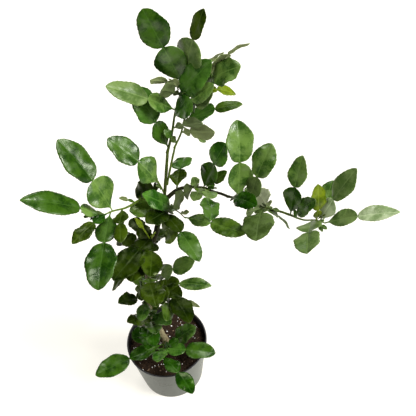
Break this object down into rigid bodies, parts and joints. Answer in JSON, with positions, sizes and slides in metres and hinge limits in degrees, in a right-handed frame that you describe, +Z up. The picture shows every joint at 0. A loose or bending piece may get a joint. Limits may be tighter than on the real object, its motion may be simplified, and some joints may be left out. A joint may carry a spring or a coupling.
{
  "type": "potted kaffir lime tree",
  "caption": "Young citrus tree with a leaning trunk, thin spreading boughs and two-lobed glossy leaves, in a round nursery pot of soil.",
  "frame": {"origin": "centre of the pot's flat underside", "axes": "+Z up along the pot's axis, +X towards the long bough, +Y away from the viewer"},
  "size_m": [0.5258, 0.2522, 0.8433],
  "materials": {
    "pot": "smooth grey moulded plastic outside, black inside and on the rim",
    "soil": "crumbly dark brown potting mix with white perlite grains",
    "bark": "thin grey-tan bark with fine cracks and pale pores",
    "green_stem": "smooth green young bark, slightly waxy",
    "leaf": "glossy leathery dark green above, paler and dull grey-green below"
  },
  "bodies": {
    "root": {"pot": "pot", "soil": "soil", "trunk": "bark", "leader": "bark", "secondUpright": "green_stem", "rightBoughInner": "bark", "rightBoughMiddle": "green_stem", "rightBoughOuter": "green_stem", "leftBough": "green_stem", "crownLeftFoliage": "leaf", "crownRightFoliage": "leaf", "forkFoliage": "leaf", "spurFoliage": "leaf", "rightInnerFoliage": "leaf", "rightMiddleFoliage": "leaf", "rightOuterFoliage": "leaf", "leftFoliage": "leaf", "droopingFoliage": "leaf", "upperLeftFoliage": "leaf", "upperRightFoliage": "leaf", "middleRightFoliage": "leaf", "middleLeftFoliage": "leaf", "lowRightFoliage": "leaf", "lowLeftFoliage": "leaf", "footLeftFoliage": "leaf", "footFrontFoliage": "leaf", "footRightFoliage": "leaf", "backUpperFoliage": "leaf", "backMiddleFoliage": "leaf", "backLowFoliage": "leaf"}
  },
  "joints": []
}
